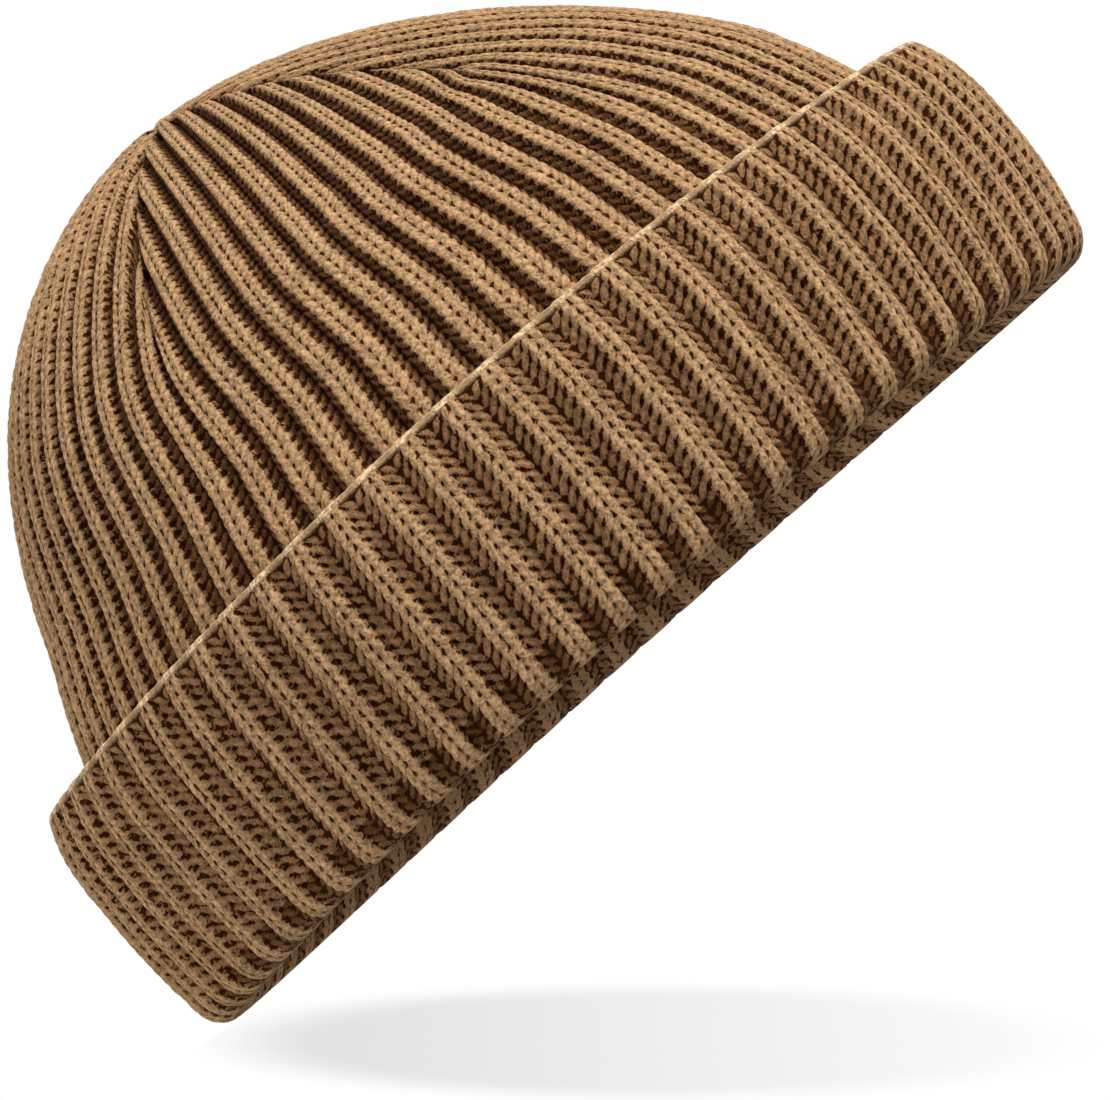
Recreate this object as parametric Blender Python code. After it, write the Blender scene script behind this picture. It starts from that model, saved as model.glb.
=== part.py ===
"""Rib-knit watch cap with a deep turned-up cuff, in metres, +Z up.

The cap stands on its fold. The origin is the centre of the fold's underside, -Y is the front and +X is the
wearer's left as seen from the front (to the right of a viewer who looks along +Y).

One knitted fabric runs from the free edge of the turn-up down to the fold, up the inside as the body, and
on to five gores that are sewn together along five darts. It is divided here where it is made: at the fold,
at the start of the darts and along the darts. Every length of fabric is a grid whose columns follow the
ribs, one column on each rib and one in each furrow.
"""
import math

import bmesh
import bpy
from mathutils import Vector

MM = 0.001

# Fabric
FABRIC_THICKNESS = 3.6 * MM
RIB_COUNT = 70
RIB_DEPTH = 2.2 * MM
SEAM_GAP = 0.3 * MM

# Body and crown
HEAD_OPENING_RADIUS = 93.0 * MM
CROWN_TOP = 128.7 * MM
CROWN_SPAN = 135.2 * MM
CROWN_FULLNESS = 10.05 * MM
CROWN_RISE_POWER = 2.06
CROWN_ROUND_POWER = 1.861
BODY_BLEND = 1.2 * MM
DART_START_HEIGHT = 96.0 * MM
LEAN_START = 67.0 * MM
LEAN_EASE = 6.0 * MM
LEAN_SLOPE = 0.20
TIP_SHIFT_X = 4.5 * MM
TIP_SHIFT_Y = -8.5 * MM
TIP_SHIFT_START = 85.0 * MM

# Fold and turn-up
FOLD_RADIUS = 6.5 * MM
REST_FLAT_DEPTH = 0.5 * MM
CUFF_SWELL = 1.8 * MM
CUFF_BELLY_HEIGHT = 25.0 * MM
CUFF_HEIGHT = 50.2 * MM
LIP_DRAW_IN = 5.0 * MM
LIP_DRAW_POWER = 3.6
FREE_EDGE_ARCH = 4.8 * MM
CAST_ON_HEIGHT = 2.0 * MM

# Darts and seams
GORE_COUNT = 5
DART_AZIMUTH = math.radians(-26.6)
PITCH_GAIN = 0.038298 * MM
PITCH_GAIN_HEIGHT = 10.0 * MM
DART_RIDGE_RADIUS = 1.5 * MM
BACK_RIDGE_RADIUS = 1.5 * MM
CUFF_RIDGE_RADIUS = 0.9 * MM
RIDGE_END_MARGIN = 2.0 * MM
TIE_NECK_RADIUS = 1.3 * MM
TIE_FLANGE_RADIUS = 4.5 * MM
TIE_FLANGE_HEIGHT = 1.6 * MM
TIE_CLEARANCE = 1.3 * MM

# Mesh density
TURN_UP_ROWS = 5
BODY_ROWS = 6
GORE_ROWS = 6
FOLD_ARC_ROWS = 2
RING_COLUMNS = 2 * RIB_COUNT
SMOOTH_RING_COLUMNS = RIB_COUNT
CAST_ON_STEPS = 6
RIDGE_POINTS = 9
TIE_STEPS = 16

# Finer than anything that shows
MERGE_DISTANCE = 0.01 * MM
SLOPE_STEP = 0.1 * MM
HALVINGS = 40

# Worked out from the sizes above
CROWN_RADIUS = HEAD_OPENING_RADIUS + CROWN_FULLNESS
CROWN_BASE = CROWN_TOP - CROWN_SPAN
FOLD_CENTRE_HEIGHT = FOLD_RADIUS - REST_FLAT_DEPTH
FOLD_CENTRE_RADIUS = HEAD_OPENING_RADIUS + FOLD_RADIUS
FOLD_CORE_RADIUS = FOLD_RADIUS - FABRIC_THICKNESS
BODY_TUBE_RADIUS = FOLD_CENTRE_RADIUS - FOLD_CORE_RADIUS + SEAM_GAP
CUFF_FOOT_RADIUS = FOLD_CENTRE_RADIUS + FOLD_RADIUS
CUFF_BELLY_RADIUS = CUFF_FOOT_RADIUS + CUFF_SWELL
LIP_HEIGHT = CUFF_HEIGHT - CAST_ON_HEIGHT - SEAM_GAP
GORE_ANGLE = 2 * math.pi / GORE_COUNT
PITCH_ANGLE = 2 * math.pi / RIB_COUNT
HALF_GORE_RIBS = RIB_COUNT / GORE_COUNT / 2
GORE_SIDES = ("front", "left", "back_left", "back_right", "right")
BACK_DART = 3

CAMEL = (0.355, 0.215, 0.112, 1.0)
CAMEL_SHADE = (0.270, 0.152, 0.075, 1.0)
CAMEL_LIGHT = (0.430, 0.272, 0.148, 1.0)
SEAM_BROWN = (0.190, 0.102, 0.048, 1.0)
KNIT_ROUGHNESS = 0.95
YARN_ROUGHNESS = 0.85


def fabric_material(name, colour, roughness):
    """A plain matt fabric in one colour."""
    material = bpy.data.materials.new(name)
    material.use_nodes = True
    shader = material.node_tree.nodes["Principled BSDF"]
    shader.inputs["Base Color"].default_value = colour
    shader.inputs["Roughness"].default_value = roughness
    shader.inputs["Metallic"].default_value = 0.0
    material.diffuse_color = colour
    return material


# The cap's outlines, each as the radius of the outer face at a height

def crown_radius(height):
    """The dome: a superellipse from its widest ring up to the tip."""
    rise = min(max((height - CROWN_BASE) / CROWN_SPAN, 0.0), 1.0)
    return CROWN_RADIUS * (1.0 - rise ** CROWN_RISE_POWER) ** (1.0 / CROWN_ROUND_POWER)


def crown_height(radius):
    """The dome's height at a radius: the superellipse solved the other way."""
    share = min(max(radius / CROWN_RADIUS, 0.0), 1.0)
    rise = (1.0 - share ** CROWN_ROUND_POWER) ** (1.0 / CROWN_RISE_POWER)
    return CROWN_BASE + CROWN_SPAN * rise


def body_radius(height):
    """A straight tube below that turns smoothly into the dome above it."""
    tube = math.exp(-BODY_TUBE_RADIUS / BODY_BLEND)
    dome = math.exp(-crown_radius(height) / BODY_BLEND)
    return -BODY_BLEND * math.log(tube + dome)


def cuff_radius(height):
    """The turn-up's belly, which swells above the fold and draws in at the lip."""
    if height < CUFF_BELLY_HEIGHT:
        drop = (CUFF_BELLY_HEIGHT - height) / (CUFF_BELLY_HEIGHT - FOLD_CENTRE_HEIGHT)
        return CUFF_BELLY_RADIUS - CUFF_SWELL * drop ** 2
    rise = (height - CUFF_BELLY_HEIGHT) / (CUFF_HEIGHT - CUFF_BELLY_HEIGHT)
    return CUFF_BELLY_RADIUS - LIP_DRAW_IN * rise ** LIP_DRAW_POWER


def outward_normal(outline, height):
    """The radial and upward parts of an outline's outward normal, from its slope."""
    slope = (outline(height + SLOPE_STEP) - outline(height - SLOPE_STEP)) / (2 * SLOPE_STEP)
    length = math.hypot(1.0, slope)
    return 1.0 / length, -slope / length


# Where a point of the cap lies

def lean(height):
    """How far the crown has slumped to -X at a height."""
    above = max(height - LEAN_START, 0.0)
    return LEAN_SLOPE * above * above / (above + LEAN_EASE)


def smoothstep(value):
    """0 up to 0, 1 from 1 on, and 3v^2 - 2v^3 between them."""
    share = min(max(value, 0.0), 1.0)
    return share * share * (3.0 - 2.0 * share)


def cap_point(radius, azimuth, height):
    """A point at a radius and a height, with azimuth 0 at the front and growing towards +X.

    Towards the tip the fabric has slid over the dome, so the darts meet beside its highest point. Then the
    whole crown has slumped to one side.
    """
    slid = smoothstep((height - TIP_SHIFT_START) / (CROWN_TOP - TIP_SHIFT_START))
    x = radius * math.sin(azimuth) + TIP_SHIFT_X * slid
    y = -radius * math.cos(azimuth) + TIP_SHIFT_Y * slid
    z = height + crown_height(math.hypot(x, y)) - crown_height(radius) if slid > 0.0 else height
    return Vector((x - lean(z), y, z))


def arch(azimuth, height):
    """How much the turn-up rises at the front and the back, in proportion to the height on it."""
    share = (height - FOLD_CENTRE_HEIGHT) / (LIP_HEIGHT - FOLD_CENTRE_HEIGHT)
    return FREE_EDGE_ARCH * max(share, 0.0) * math.cos(azimuth) ** 2


def column_azimuth(column, columns):
    """Columns start in the furrow of the first dart and go once round."""
    return DART_AZIMUTH + 2 * math.pi * column / columns


def furrow(column):
    """On the body and the crown, even columns lie in a furrow and odd ones on a rib."""
    return RIB_DEPTH if column % 2 == 0 else 0.0


def turned_furrow(column):
    """The turn-up shows the other face of the fabric, so its ribs are the body's furrows."""
    return furrow(column + 1)


# Building blocks

def fabric(name, columns, rows, place, material):
    """A piece of fabric: one grid wrapped up its outer face, over its top and down its inner face.

    place(column, row, depth) puts each point, and the grid's last row closes on its first. Both faces are
    set square to the outline, so the rims of two neighbours lie parallel.
    """
    grid = bmesh.new()
    bmesh.ops.create_grid(grid, x_segments=columns, y_segments=2 * rows + 2, size=1.0)
    for vertex in grid.verts:
        column = round((vertex.co.x + 1.0) / 2.0 * columns)
        step = round((vertex.co.y + 1.0) / 2.0 * (2 * rows + 2)) % (2 * rows + 2)
        if step <= rows:
            vertex.co = place(column, step, 0.0)
        else:
            vertex.co = place(column, 2 * rows + 1 - step, FABRIC_THICKNESS)
    bmesh.ops.remove_doubles(grid, verts=grid.verts, dist=MERGE_DISTANCE)
    bmesh.ops.recalc_face_normals(grid, faces=grid.faces)
    mesh = bpy.data.meshes.new(name)
    grid.to_mesh(mesh)
    grid.free()
    mesh.materials.append(material)
    cap_parts.objects.link(bpy.data.objects.new(name, mesh))


def turned(name, profile, steps, shift, material):
    """A profile of radii and heights turned once about the upright axis, then moved by shift(point)."""
    solid = bmesh.new()
    rim = [solid.verts.new((0.0, -radius, height)) for radius, height in profile]
    edges = [solid.edges.new((rim[i - 1], rim[i])) for i in range(1, len(rim))]
    bmesh.ops.spin(solid, geom=rim + edges, axis=(0.0, 0.0, 1.0), cent=(0.0, 0.0, 0.0),
                   angle=2 * math.pi, steps=steps, use_merge=True)
    bmesh.ops.remove_doubles(solid, verts=solid.verts, dist=MERGE_DISTANCE)
    bmesh.ops.recalc_face_normals(solid, faces=solid.faces)
    for vertex in solid.verts:
        vertex.co += shift(vertex.co)
    mesh = bpy.data.meshes.new(name)
    solid.to_mesh(mesh)
    solid.free()
    mesh.materials.append(material)
    cap_parts.objects.link(bpy.data.objects.new(name, mesh))


def ridge(name, points, radius, material):
    """A sewn seam's allowance, as a round ridge along its route."""
    curve = bpy.data.curves.new(name, "CURVE")
    curve.dimensions = "3D"
    curve.bevel_depth = radius
    curve.bevel_resolution = 1
    curve.use_fill_caps = True
    spline = curve.splines.new("POLY")
    spline.points.add(len(points) - 1)
    for spline_point, place in zip(spline.points, points):
        spline_point.co = (place.x, place.y, place.z, 1.0)
    curve.materials.append(material)
    cap_parts.objects.link(bpy.data.objects.new(name, curve))


def inside_point(outline, azimuth, height, depth):
    """A point at a depth below the outer face, measured along its normal."""
    radial, upward = outward_normal(outline, height)
    return cap_point(outline(height) - depth * radial, azimuth, height - depth * upward)


def spread(first, last, count):
    """Values from first to last, both included."""
    return [first + (last - first) * step / (count - 1) for step in range(count)]


def drawn_in(heights):
    """The same heights, with both ends drawn in by the margin that a seam's ridge keeps."""
    return [heights[0] + RIDGE_END_MARGIN] + heights[1:-1] + [heights[-1] - RIDGE_END_MARGIN]


# The heights of the rows of the two ribbed tubes, which their seams follow
BODY_HEIGHTS = spread(FOLD_CENTRE_HEIGHT + SEAM_GAP, DART_START_HEIGHT - SEAM_GAP / 2, BODY_ROWS + 1)
TURN_UP_HEIGHTS = spread(FOLD_CENTRE_HEIGHT + SEAM_GAP, LIP_HEIGHT, TURN_UP_ROWS + 1)


def pitch_width(height):
    """The width of a rib and its furrow: a share of the ring below the darts, and constant on the crown.

    There it is the share at the start of the darts and a small gain.
    """
    ring = crown_radius(height) * PITCH_ANGLE
    crown = crown_radius(DART_START_HEIGHT) * PITCH_ANGLE + PITCH_GAIN
    return ring + (crown - ring) * smoothstep((height - DART_START_HEIGHT) / PITCH_GAIN_HEIGHT)


def rib_end_height(ribs):
    """The height at which a dart cuts off the rib that is this many ribs from its gore's middle."""
    low, high = DART_START_HEIGHT + SEAM_GAP / 2, CROWN_TOP
    for _ in range(HALVINGS):
        middle = (low + high) / 2
        if crown_radius(middle) * GORE_ANGLE / 2 > ribs * pitch_width(middle):
            low = middle
        else:
            high = middle
    return low


# The pieces

def make_turn_up():
    """The outer layer: the fabric of the cuff from the fold up to the cast-on edge."""
    def place(column, row, depth):
        height = TURN_UP_HEIGHTS[row]
        azimuth = column_azimuth(column, RING_COLUMNS)
        point = inside_point(cuff_radius, azimuth, height, depth + turned_furrow(column))
        point.z += arch(azimuth, height)
        return point

    material = fabric_material("turn_up_knit", CAMEL, KNIT_ROUGHNESS)
    fabric("turn_up", RING_COLUMNS, TURN_UP_ROWS, place, material)


def make_cast_on_edge():
    """The firm first rows of the knitting: a half-round bead that closes the rim of the turn-up."""
    radial, upward = outward_normal(cuff_radius, LIP_HEIGHT)
    half_width = (FABRIC_THICKNESS + RIB_DEPTH) / 2
    centre_radius = cuff_radius(LIP_HEIGHT) - half_width * radial - SEAM_GAP * upward
    centre_height = LIP_HEIGHT - half_width * upward + SEAM_GAP * radial
    section = []
    for step in range(CAST_ON_STEPS + 1):
        angle = math.pi * step / CAST_ON_STEPS
        across = half_width * math.cos(angle)
        along = CAST_ON_HEIGHT * math.sin(angle)
        section.append((centre_radius + across * radial - along * upward,
                        centre_height + across * upward + along * radial))

    def rise(point):
        return Vector((0.0, 0.0, arch(math.atan2(point.x, -point.y), LIP_HEIGHT)))

    material = fabric_material("cast_on_knit", CAMEL_LIGHT, KNIT_ROUGHNESS)
    turned("cast_on_edge", section + section[:1], SMOOTH_RING_COLUMNS, rise, material)


def make_fold_roll():
    """The turn of the fabric at the bottom of the cuff, flat where the cap stands on it."""
    flat_angle = math.asin(FOLD_CENTRE_HEIGHT / FOLD_RADIUS)
    outer_arc = spread(0.0, flat_angle, FOLD_ARC_ROWS + 1)
    arc = outer_arc + [math.pi - angle for angle in reversed(outer_arc)]

    def place(column, row, depth):
        azimuth = column_azimuth(column, SMOOTH_RING_COLUMNS)
        reach = FOLD_RADIUS - depth
        radius = FOLD_CENTRE_RADIUS + reach * math.cos(arc[row])
        return cap_point(radius, azimuth, FOLD_CENTRE_HEIGHT - reach * math.sin(arc[row]))

    material = fabric_material("fold_knit", CAMEL_SHADE, KNIT_ROUGHNESS)
    fabric("fold_roll", SMOOTH_RING_COLUMNS, len(arc) - 1, place, material)


def make_body():
    """The inner layer of the cuff and the side of the cap, up to where the darts start."""
    def place(column, row, depth):
        azimuth = column_azimuth(column, RING_COLUMNS)
        return inside_point(body_radius, azimuth, BODY_HEIGHTS[row], depth + furrow(column))

    material = fabric_material("body_knit", CAMEL, KNIT_ROUGHNESS)
    fabric("body", RING_COLUMNS, BODY_ROWS, place, material)


def make_gore(name, middle):
    """A fifth of the crown, whose ribs run side by side and end at its two darts."""
    columns = RING_COLUMNS // GORE_COUNT
    low = DART_START_HEIGHT + SEAM_GAP / 2
    tip_radius = TIE_NECK_RADIUS + TIE_CLEARANCE

    def place(column, row, depth):
        ribs = column / 2 - HALF_GORE_RIBS
        end = min(rib_end_height(abs(ribs)), crown_height(tip_radius))
        height = low + (end - low) * row / GORE_ROWS
        seam_share = 1.0 - SEAM_GAP / 2 / (crown_radius(height) * GORE_ANGLE / 2)
        azimuth = middle + ribs * pitch_width(height) / crown_radius(height) * seam_share
        return inside_point(crown_radius, azimuth, height, depth + furrow(column))

    material = fabric_material(name + "_knit", CAMEL, KNIT_ROUGHNESS)
    fabric(name, columns, GORE_ROWS, place, material)


def make_dart_seam(name, azimuth):
    """The seam allowance on the inside of one dart."""
    depth = FABRIC_THICKNESS + RIB_DEPTH + SEAM_GAP + DART_RIDGE_RADIUS
    low = DART_START_HEIGHT + RIDGE_END_MARGIN
    tip_radius = TIE_FLANGE_RADIUS + 2 * DART_RIDGE_RADIUS + RIDGE_END_MARGIN
    radii = spread(crown_radius(low), tip_radius, RIDGE_POINTS)
    points = [inside_point(crown_radius, azimuth, crown_height(radius), depth) for radius in radii]
    ridge(name, points, DART_RIDGE_RADIUS, fabric_material(name + "_yarn", SEAM_BROWN, YARN_ROUGHNESS))


def make_back_seams():
    """The seam that closes the knitted panel into a tube, on the body and on the turn-up."""
    azimuth = DART_AZIMUTH + BACK_DART * GORE_ANGLE
    body_depth = FABRIC_THICKNESS + RIB_DEPTH + SEAM_GAP + BACK_RIDGE_RADIUS
    body_route = [inside_point(body_radius, azimuth, height, body_depth)
                  for height in drawn_in(BODY_HEIGHTS)]
    ridge("body_back_seam", body_route, BACK_RIDGE_RADIUS,
          fabric_material("body_seam_yarn", SEAM_BROWN, YARN_ROUGHNESS))
    cuff_depth = FABRIC_THICKNESS + SEAM_GAP + CUFF_RIDGE_RADIUS
    cuff_route = []
    for height in drawn_in(TURN_UP_HEIGHTS):
        place = inside_point(cuff_radius, azimuth, height, cuff_depth)
        place.z += arch(azimuth, height)
        cuff_route.append(place)
    ridge("turn_up_back_seam", cuff_route, CUFF_RIDGE_RADIUS,
          fabric_material("turn_up_seam_yarn", SEAM_BROWN, YARN_ROUGHNESS))


def make_crown_tie():
    """The yarn that draws the five gore tips together, with its knot spread out under them."""
    under = crown_height(TIE_FLANGE_RADIUS + FABRIC_THICKNESS / 2) - FABRIC_THICKNESS - RIB_DEPTH
    foot = under - TIE_FLANGE_HEIGHT
    top = CROWN_TOP - RIB_DEPTH
    profile = [(0.0, top), (TIE_NECK_RADIUS, top), (TIE_NECK_RADIUS, under - SEAM_GAP),
               (TIE_FLANGE_RADIUS, under - SEAM_GAP), (TIE_FLANGE_RADIUS, foot), (0.0, foot)]

    def follow_tip(point):
        radius = math.hypot(point.x, point.y)
        return cap_point(radius, math.atan2(point.x, -point.y), point.z) - point

    turned("crown_tie", profile, TIE_STEPS, follow_tip,
           fabric_material("tie_yarn", SEAM_BROWN, YARN_ROUGHNESS))


for old_object in list(bpy.data.objects):
    bpy.data.objects.remove(old_object, do_unlink=True)

cap_parts = bpy.data.collections.new("rib_knit_cap")
bpy.context.scene.collection.children.link(cap_parts)

make_turn_up()
make_cast_on_edge()
make_fold_roll()
make_body()
for number, side in enumerate(GORE_SIDES):
    dart = DART_AZIMUTH + number * GORE_ANGLE
    make_gore("gore_" + side, dart + GORE_ANGLE / 2)
    make_dart_seam("dart_seam_" + str(number + 1), dart)
make_back_seams()
make_crown_tie()
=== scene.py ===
"""The looks of a rib-knit watch cap with a deep turned-up cuff, in metres, +Z up.

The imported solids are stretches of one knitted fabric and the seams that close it. Each of them is knitted
again here: the outline is the solid's own, settled a little as a soft cap does, and every stitch on it is a
pair of slanted legs worked out with numpy. Face one of the fabric is the cuff's outside, the fold and the
inside of the cap. Face two is the outside of the cap above the cuff. A rib of one face is a furrow of the
other.
"""
import math

import bmesh
import bpy
import numpy as np
from mathutils import Matrix, Vector


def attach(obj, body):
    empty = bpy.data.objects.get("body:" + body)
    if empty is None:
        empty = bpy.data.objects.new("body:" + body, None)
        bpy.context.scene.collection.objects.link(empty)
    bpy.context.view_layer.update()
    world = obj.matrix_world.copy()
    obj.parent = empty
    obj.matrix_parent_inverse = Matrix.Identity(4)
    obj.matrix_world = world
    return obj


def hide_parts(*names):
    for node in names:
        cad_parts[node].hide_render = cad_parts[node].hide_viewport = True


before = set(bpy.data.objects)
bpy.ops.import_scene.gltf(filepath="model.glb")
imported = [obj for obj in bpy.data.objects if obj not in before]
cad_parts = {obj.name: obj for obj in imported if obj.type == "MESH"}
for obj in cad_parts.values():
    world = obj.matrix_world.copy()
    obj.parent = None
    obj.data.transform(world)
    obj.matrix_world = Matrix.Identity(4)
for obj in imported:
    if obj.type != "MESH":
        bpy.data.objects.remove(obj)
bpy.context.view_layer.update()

MM = 0.001

# The fabric, as in the solids
FABRIC_THICKNESS = 3.6 * MM
RIB_COUNT = 70
RIB_DEPTH = 2.2 * MM
SEAM_GAP = 0.3 * MM
HEAD_OPENING_RADIUS = 93.0 * MM
CROWN_TOP = 128.7 * MM
CROWN_SPAN = 135.2 * MM
CROWN_FULLNESS = 10.05 * MM
CROWN_RISE_POWER = 2.06
CROWN_ROUND_POWER = 1.861
BODY_BLEND = 1.2 * MM
DART_START_HEIGHT = 96.0 * MM
LEAN_START = 67.0 * MM
LEAN_EASE = 6.0 * MM
LEAN_SLOPE = 0.20
TIP_SHIFT_X = 4.5 * MM
TIP_SHIFT_Y = -8.5 * MM
TIP_SHIFT_START = 85.0 * MM
FOLD_RADIUS = 6.5 * MM
REST_FLAT_DEPTH = 0.5 * MM
CUFF_SWELL = 1.8 * MM
CUFF_BELLY_HEIGHT = 25.0 * MM
CUFF_HEIGHT = 50.2 * MM
LIP_DRAW_IN = 5.0 * MM
LIP_DRAW_POWER = 3.6
FREE_EDGE_ARCH = 4.8 * MM
CAST_ON_HEIGHT = 2.0 * MM
GORE_COUNT = 5
DART_AZIMUTH = math.radians(-26.6)
DART_RIDGE_RADIUS = 1.5 * MM
BACK_RIDGE_RADIUS = 1.5 * MM
CUFF_RIDGE_RADIUS = 0.9 * MM
RIDGE_END_MARGIN = 2.0 * MM
TIE_NECK_RADIUS = 1.3 * MM
TIE_FLANGE_RADIUS = 4.5 * MM
TIE_FLANGE_HEIGHT = 1.6 * MM
BACK_DART = 3
GORE_SIDES = ("front", "left", "back_left", "back_right", "right")

RIBBED_THICKNESS = FABRIC_THICKNESS + RIB_DEPTH
CROWN_RADIUS = HEAD_OPENING_RADIUS + CROWN_FULLNESS
CROWN_BASE = CROWN_TOP - CROWN_SPAN
FOLD_CENTRE_HEIGHT = FOLD_RADIUS - REST_FLAT_DEPTH
FOLD_CENTRE_RADIUS = HEAD_OPENING_RADIUS + FOLD_RADIUS
FOLD_CORE_RADIUS = FOLD_RADIUS - FABRIC_THICKNESS
FOLD_LENGTH = math.pi * FOLD_RADIUS
BODY_TUBE_RADIUS = FOLD_CENTRE_RADIUS - FOLD_CORE_RADIUS + SEAM_GAP
CUFF_BELLY_RADIUS = FOLD_CENTRE_RADIUS + FOLD_RADIUS + CUFF_SWELL
LIP_HEIGHT = CUFF_HEIGHT - CAST_ON_HEIGHT - SEAM_GAP
PITCH_ANGLE = 2 * math.pi / RIB_COUNT
GORE_ANGLE = 2 * math.pi / GORE_COUNT
GORE_RIBS = RIB_COUNT // GORE_COUNT
HALF_RIBS = GORE_RIBS / 2

# How the soft cap settles: the fold's front and back lift off, and its lower edge swings to one side
FOLD_LIFT = 2.9 * MM
LIFT_FADE_HEIGHT = 100.0 * MM
SWAY = 1.8 * MM
SWAY_FADE_HEIGHT = 42.0 * MM
LIFT_GROWTH_LIMIT = 1.2

# How the ribs run on the crown: their width in the middle of a gore, how they crowd beside a dart and how
# much of that the dart takes in, and how far each gore's ribs shift and lean sideways, in ribs
START_PITCH = 6.69 * MM
PITCH_LOSS = 0.0356
LEAST_PITCH = 4.2 * MM
CROWD_START = 48.0 * MM
CROWD_FADE = 14.0 * MM
CROWD_REACH = 2.2
CROWD_TAKEN_IN = 0.8
LEAST_CROWD_STRIP = 1e-4
RIB_SHIFTS = (0.18, 0.0, 0.0, 0.0, -0.19)
RIB_LEANS = (0.36, 0.0, 0.0, 0.0, -0.585)

# The valley along a dart, and the painted shade that darkens it
DART_DIP = 0.8 * MM
DART_DIP_WIDTH = 0.9 * MM
DART_DIP_GROWTH = 6.0 * MM
DART_SHADE = 0.5

# Stitches: the legs of the ribs and the furrows, and the share of a pitch that a rib takes
COURSE = 2.30 * MM
RIB_LEG_HEIGHT = 0.60 * MM
FURROW_LEG_HEIGHT = 1.00 * MM
LEG_REACH = 1.22
RIB_LEG_FULLNESS = 0.66
FURROW_LEG_FULLNESS = 0.53
LEG_SHIFT = 0.95
LEG_UNEVENNESS = 0.30
LEG_SIZE_COUNT = 4096
LANE_STRIDE = 131
COURSE_STRIDE = 17
SEED = 5
CUFF_SHARE = 0.44
CROWN_SHARE = 0.60

# The steps from a rib down into its furrow, and where painted shade sets in: places in parts of the rib's
# share, levels in parts of its depth
FLOOR_STEP = (0.40, 0.62)
RIB_STEP = (0.30, 0.62)
PAINTED_SHADE_STEP = (0.30, 0.50)
RIB_SHOULDER = 0.25
FURROW_SIDE = 0.62
FURROW_BELLY = 0.38

# How the ribs are pressed together round the fold: where, in parts of its length, and by how much they get
# wider, flatter and less darkened by painted shade there. Then where and by how much painted shade darkens
# them to a mid-brown on their way inwards, where the cap's inside lies in shade
PRESS_RANGE = (-0.05, 0.42)
PRESS_LENGTH = 8.0 * MM
PRESS_WIDENING = 0.06
PRESS_FLATTENING = 0.80
PRESS_LEG_LOSS = 0.65
PRESS_SHADE_EASING = 0.35
INSIDE_SHADE_RANGE = (0.35, 0.75)
INSIDE_PAINTED_SHADE = 0.42
INSIDE_GAP_SHADE_LOSS = 0.12

# The free edge: how the ribs flatten towards it, and the cast-on bead's caps, twists and painted shade
LIP_EASE = 0.6
LIP_EASE_LENGTH = 4.0 * MM
RIB_CAP = 0.26
FURROW_CAP = 0.24
RIB_CAP_EDGE = (0.34, 0.22)
TWISTS_PER_RIB = 4.0
TWIST_SLANT = 0.25
BEAD_SIZE = 0.83
BEAD_CAP_SWELL = 0.05
BEAD_RIB_SWELL = 0.06
BEAD_TWIST_SWELL = 0.06
BEAD_ROUNDNESS = 0.8
BEAD_FOOT_SIZE = 0.78
BEAD_FOOT_DROP = 0.6 * MM
BEAD_SHADE = 0.75
BEAD_SHADE_RANGE = (0.9, 0.3)
BEAD_CAP_GAP = 0.55
BEAD_TWIST_GAP = 0.40

# The seam yarn: its wraps round an allowance, and the knot under the gore tips, with painted shade between
# the wraps and between the lobes
WRAP_SPACING = 2.4 * MM
WRAP_CORE = 0.76
WRAP_SWELL = 0.24
WRAP_SHADE = 0.3
LEAST_ALLOWANCE_END = 0.02
KNOT_NECK_RANGE = (-0.4 * MM, 0.6 * MM)
KNOT_BELLY = 0.62
LEAST_KNOT_BELLY = 0.04
KNOT_LOBES = 8
KNOT_LAY = 3.0
KNOT_CORE = 0.93
KNOT_SWELL = 0.07
KNOT_SHADE = 0.2
KNOT_GAP = 0.5

# How finely everything is divided
FOLD_POINTS = 200
PROFILE_POINTS = 400
EVEN_POINTS = 700
ROUNDING_POINTS = 41
RIB_END_POINTS = 2000
CELLS_PER_PITCH = 20
GORE_CELLS = 18
ROW_STEP = 0.38 * MM
HIDDEN_HEIGHT = 38.0 * MM
HIDDEN_STEP = 6.0 * MM
INSIDE_EASE_HEIGHT = 22.0 * MM
INSIDE_FINE_LENGTH = 24.0 * MM
INSIDE_FINE_STEP = 0.5 * MM
INSIDE_STEP = 1.5 * MM
FOLD_BACK_ROWS = 9
GORE_ROWS = 180
GORE_BACK_ROWS = 50
BEAD_ROWS = 15
BEAD_FOOT_ROWS = 3
ALLOWANCE_STEP = 0.35 * MM
ALLOWANCE_SIDES = 14
KNOT_ROWS = 36
KNOT_SIDES = 32
TIP_RADIUS = 0.8 * MM
WELD_DISTANCE = 0.002 * MM
LEAST_EDGE = 0.001 * MM
TINY = 1e-9


def smooth(low, high, value):
    """Smoothstep: 0 below low, 1 above high, 3t^2 - 2t^3 between them."""
    share = np.clip((value - low) / (high - low), 0.0, 1.0)
    return share * share * (3.0 - 2.0 * share)


# Outlines

def crown_radius(height):
    """The dome's superellipse: R (1 - rise^p)^(1/q)."""
    rise = np.clip((height - CROWN_BASE) / CROWN_SPAN, 0.0, 1.0)
    return CROWN_RADIUS * (1.0 - rise ** CROWN_RISE_POWER) ** (1.0 / CROWN_ROUND_POWER)


def crown_height(radius):
    """The same superellipse, solved for its height."""
    share = np.clip(radius / CROWN_RADIUS, 0.0, 1.0)
    return CROWN_BASE + CROWN_SPAN * (1.0 - share ** CROWN_ROUND_POWER) ** (1.0 / CROWN_RISE_POWER)


def body_radius(height):
    """Smooth minimum of the straight tube and the dome."""
    tube = np.exp(-BODY_TUBE_RADIUS / BODY_BLEND)
    dome = np.exp(-crown_radius(height) / BODY_BLEND)
    return -BODY_BLEND * np.log(tube + dome)


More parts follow.
